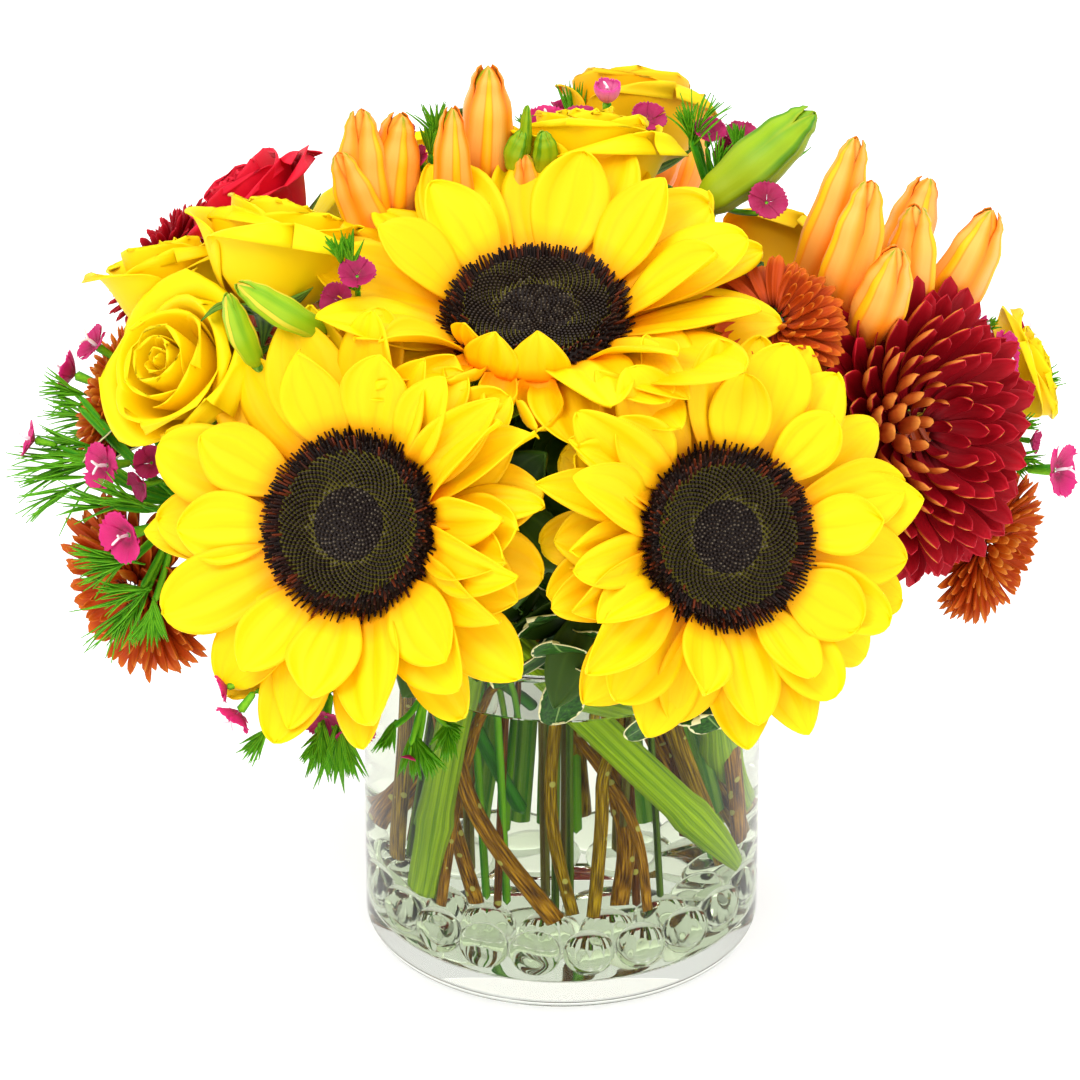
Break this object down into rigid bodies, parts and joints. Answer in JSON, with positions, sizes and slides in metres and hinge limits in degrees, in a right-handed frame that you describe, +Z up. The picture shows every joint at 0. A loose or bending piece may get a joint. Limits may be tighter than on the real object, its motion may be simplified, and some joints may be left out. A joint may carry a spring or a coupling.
{
  "type": "sunflowers in a glass vase",
  "caption": "Mixed bouquet of sunflowers, roses, chrysanthemums, lily buds and dianthus in a clear glass cylinder vase with water and glass marbles.",
  "frame": {"origin": "centre of the vase's flat underside, on the surface it stands on", "axes": "+Z up along the vase's axis, -Y towards the front of the bouquet, +X to the right as seen from the front"},
  "size_m": [0.3264, 0.2878, 0.288],
  "materials": {
    "clear_glass": "polished clear glass",
    "water": "clear still water",
    "marble_glass": "clear glass with a faint green tint",
    "sunflower_yellow": "soft matt petal with fine lengthwise veins",
    "disc_brown": "matt, rough with florets",
    "stem_green": "green skin with fine ridges and hairs",
    "bark": "smooth bark with pale pores",
    "leaf_green": "glossy leaf with a cream edge",
    "rose_yellow": "soft matt petal",
    "rose_gold": "soft matt petal",
    "rose_red": "soft matt petal",
    "mum_bronze": "matt petal, paler underneath",
    "mum_wine": "matt petal, paler underneath",
    "lily_orange": "waxy bud with a green tip",
    "lily_green": "waxy green bud",
    "dianthus_magenta": "fringed petals among green bracts"
  },
  "bodies": {
    "root": {"vase": "clear_glass", "sunflower_left_disc": "disc_brown", "sunflower_left_stem": "stem_green", "sunflower_right_disc": "disc_brown", "sunflower_right_stem": "stem_green", "sunflower_top_disc": "disc_brown", "sunflower_top_stem": "stem_green", "sunflower_left_petals": "sunflower_yellow", "sunflower_right_petals": "sunflower_yellow", "sunflower_top_petals": "sunflower_yellow", "lily_left": "lily_orange", "lily_centre": "lily_orange", "lily_green": "lily_green", "lily_right": "lily_orange", "lily_pair": "lily_green", "lily_back": "lily_orange", "rose_lower_left_stem": "bark", "mum_bronze_top_stem": "bark", "rose_left_stem": "bark", "rose_top_stem": "bark", "rose_upper_left_stem": "bark", "mum_bronze_left_stem": "bark", "rose_red_stem": "bark", "mum_burgundy": "mum_wine", "mum_bronze_top": "mum_bronze", "mum_bronze_right": "mum_bronze", "mum_bronze_low": "mum_bronze", "mum_bronze_left": "mum_bronze", "mum_wine_left": "mum_wine", "mum_back": "mum_wine", "mum_back_left": "mum_bronze", "mum_back_right": "mum_bronze", "rose_upper_left": "rose_yellow", "rose_left": "rose_yellow", "rose_lower_left": "rose_yellow", "rose_top": "rose_yellow", "rose_gold": "rose_gold", "rose_red": "rose_red", "rose_right": "rose_yellow", "rose_back_left": "rose_yellow", "rose_back_right": "rose_gold", "dianthus_left": "dianthus_magenta", "dianthus_low": "dianthus_magenta", "dianthus_low_front": "dianthus_magenta", "dianthus_middle": "dianthus_magenta", "dianthus_crown_left": "dianthus_magenta", "dianthus_crown": "dianthus_magenta", "dianthus_crown_right": "dianthus_magenta", "dianthus_right": "dianthus_magenta", "dianthus_back": "dianthus_magenta", "pittosporum_front": "leaf_green", "pittosporum_right": "leaf_green", "pittosporum_left": "leaf_green", "pittosporum_centre": "leaf_green", "pittosporum_back": "leaf_green", "lily_stem": "stem_green", "glass_marbles_outer": "marble_glass", "glass_marbles_inner": "marble_glass", "water": "water"}
  },
  "joints": []
}
